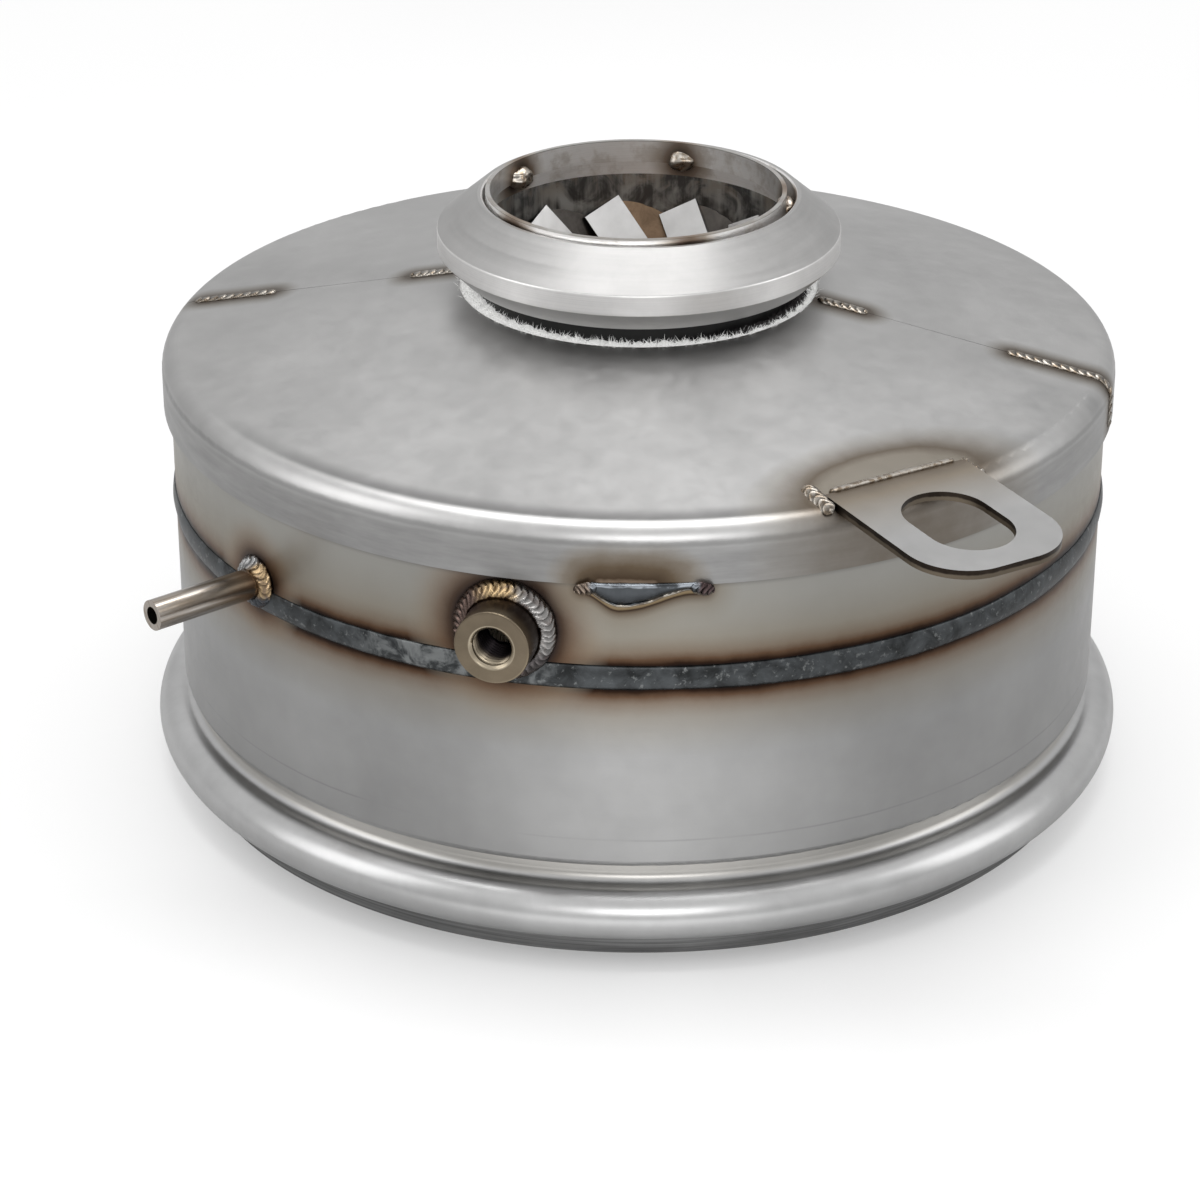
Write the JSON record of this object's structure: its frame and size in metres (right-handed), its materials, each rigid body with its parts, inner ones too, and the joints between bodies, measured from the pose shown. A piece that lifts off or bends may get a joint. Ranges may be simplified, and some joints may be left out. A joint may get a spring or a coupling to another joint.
{
  "type": "diesel oxidation catalyst",
  "caption": "Round welded steel catalyst canister with a coned heat cover, raised inlet flange over swirl vanes, rolled-bead outlet, side boss, tube stub and slotted lug.",
  "frame": {"origin": "on the can's axis, in the plane of the outlet lip's rim that the part stands on", "axes": "+Z along the can's axis from the outlet up to the inlet flange; -Y is the side in view, with the threaded boss and the tube stub towards -X of it and the lug towards +X"},
  "size_m": [0.3373, 0.3558, 0.2023],
  "materials": {
    "cover_steel": "satin ferritic stainless sheet, pressed, with straw heat tint beside the welds",
    "shell_steel": "satin ferritic stainless sheet, rolled, a little darker than the cover",
    "flange_steel": "smooth rolled stainless with soft bright highlights on the bead",
    "inlet_steel": "turned and pressed stainless",
    "mixer_steel": "sheet stainless, pale on the vanes and browned by heat between them",
    "boss_steel": "turned stainless with a bronze heat tint",
    "tube_steel": "drawn stainless tube, tan heat tint in streaks",
    "lug_steel": "flat laser-cut stainless plate, satin, darker cut edges",
    "girth_weld_metal": "dark blue-grey oxidised weld with fine ripples",
    "seam_weld_metal": "low longitudinal weld, lightly tinted",
    "cover_weld_metal": "rippled weld bead with straw to blue tint",
    "pipe_weld_metal": "rippled fillet weld, gold to dark blue tint",
    "monolith": "washcoated cordierite, matt, fine square cells",
    "mat_fibre": "compressed ceramic fibre mat",
    "blanket_fibre": "loose white insulation fibre, ragged where it shows"
  },
  "bodies": {
    "root": {"front_cover": "cover_steel", "rear_cover": "cover_steel", "substrate_can": "shell_steel", "inlet_shell": "shell_steel", "upper_retaining_ring": "shell_steel", "lower_retaining_ring": "shell_steel", "outlet_flange": "flange_steel", "inlet_flange": "inlet_steel", "inner_cap": "inlet_steel", "pilot_ring": "inlet_steel", "swirl_mixer": "mixer_steel", "sensor_boss": "boss_steel", "pressure_tube": "tube_steel", "lifting_lug": "lug_steel", "girth_weld": "girth_weld_metal", "can_seam_weld": "seam_weld_metal", "inlet_shell_seam_weld": "seam_weld_metal", "outlet_weld": "seam_weld_metal", "inner_cap_weld": "seam_weld_metal", "inlet_flange_weld": "seam_weld_metal", "seam_weld_left_inner": "cover_weld_metal", "seam_weld_left_outer": "cover_weld_metal", "seam_weld_right_inner": "cover_weld_metal", "seam_weld_right_outer": "cover_weld_metal", "lug_root_weld": "cover_weld_metal", "lug_side_weld_left": "cover_weld_metal", "lug_side_weld_right": "cover_weld_metal", "stitch_weld_front": "cover_weld_metal", "stitch_weld_rear": "cover_weld_metal", "pilot_tack_1": "cover_weld_metal", "pilot_tack_2": "cover_weld_metal", "pilot_tack_3": "cover_weld_metal", "pilot_tack_4": "cover_weld_metal", "pilot_tack_5": "cover_weld_metal", "sensor_boss_weld": "pipe_weld_metal", "pressure_tube_weld": "pipe_weld_metal", "substrate": "monolith", "support_mat": "mat_fibre", "insulation_blanket": "blanket_fibre"}
  },
  "joints": []
}
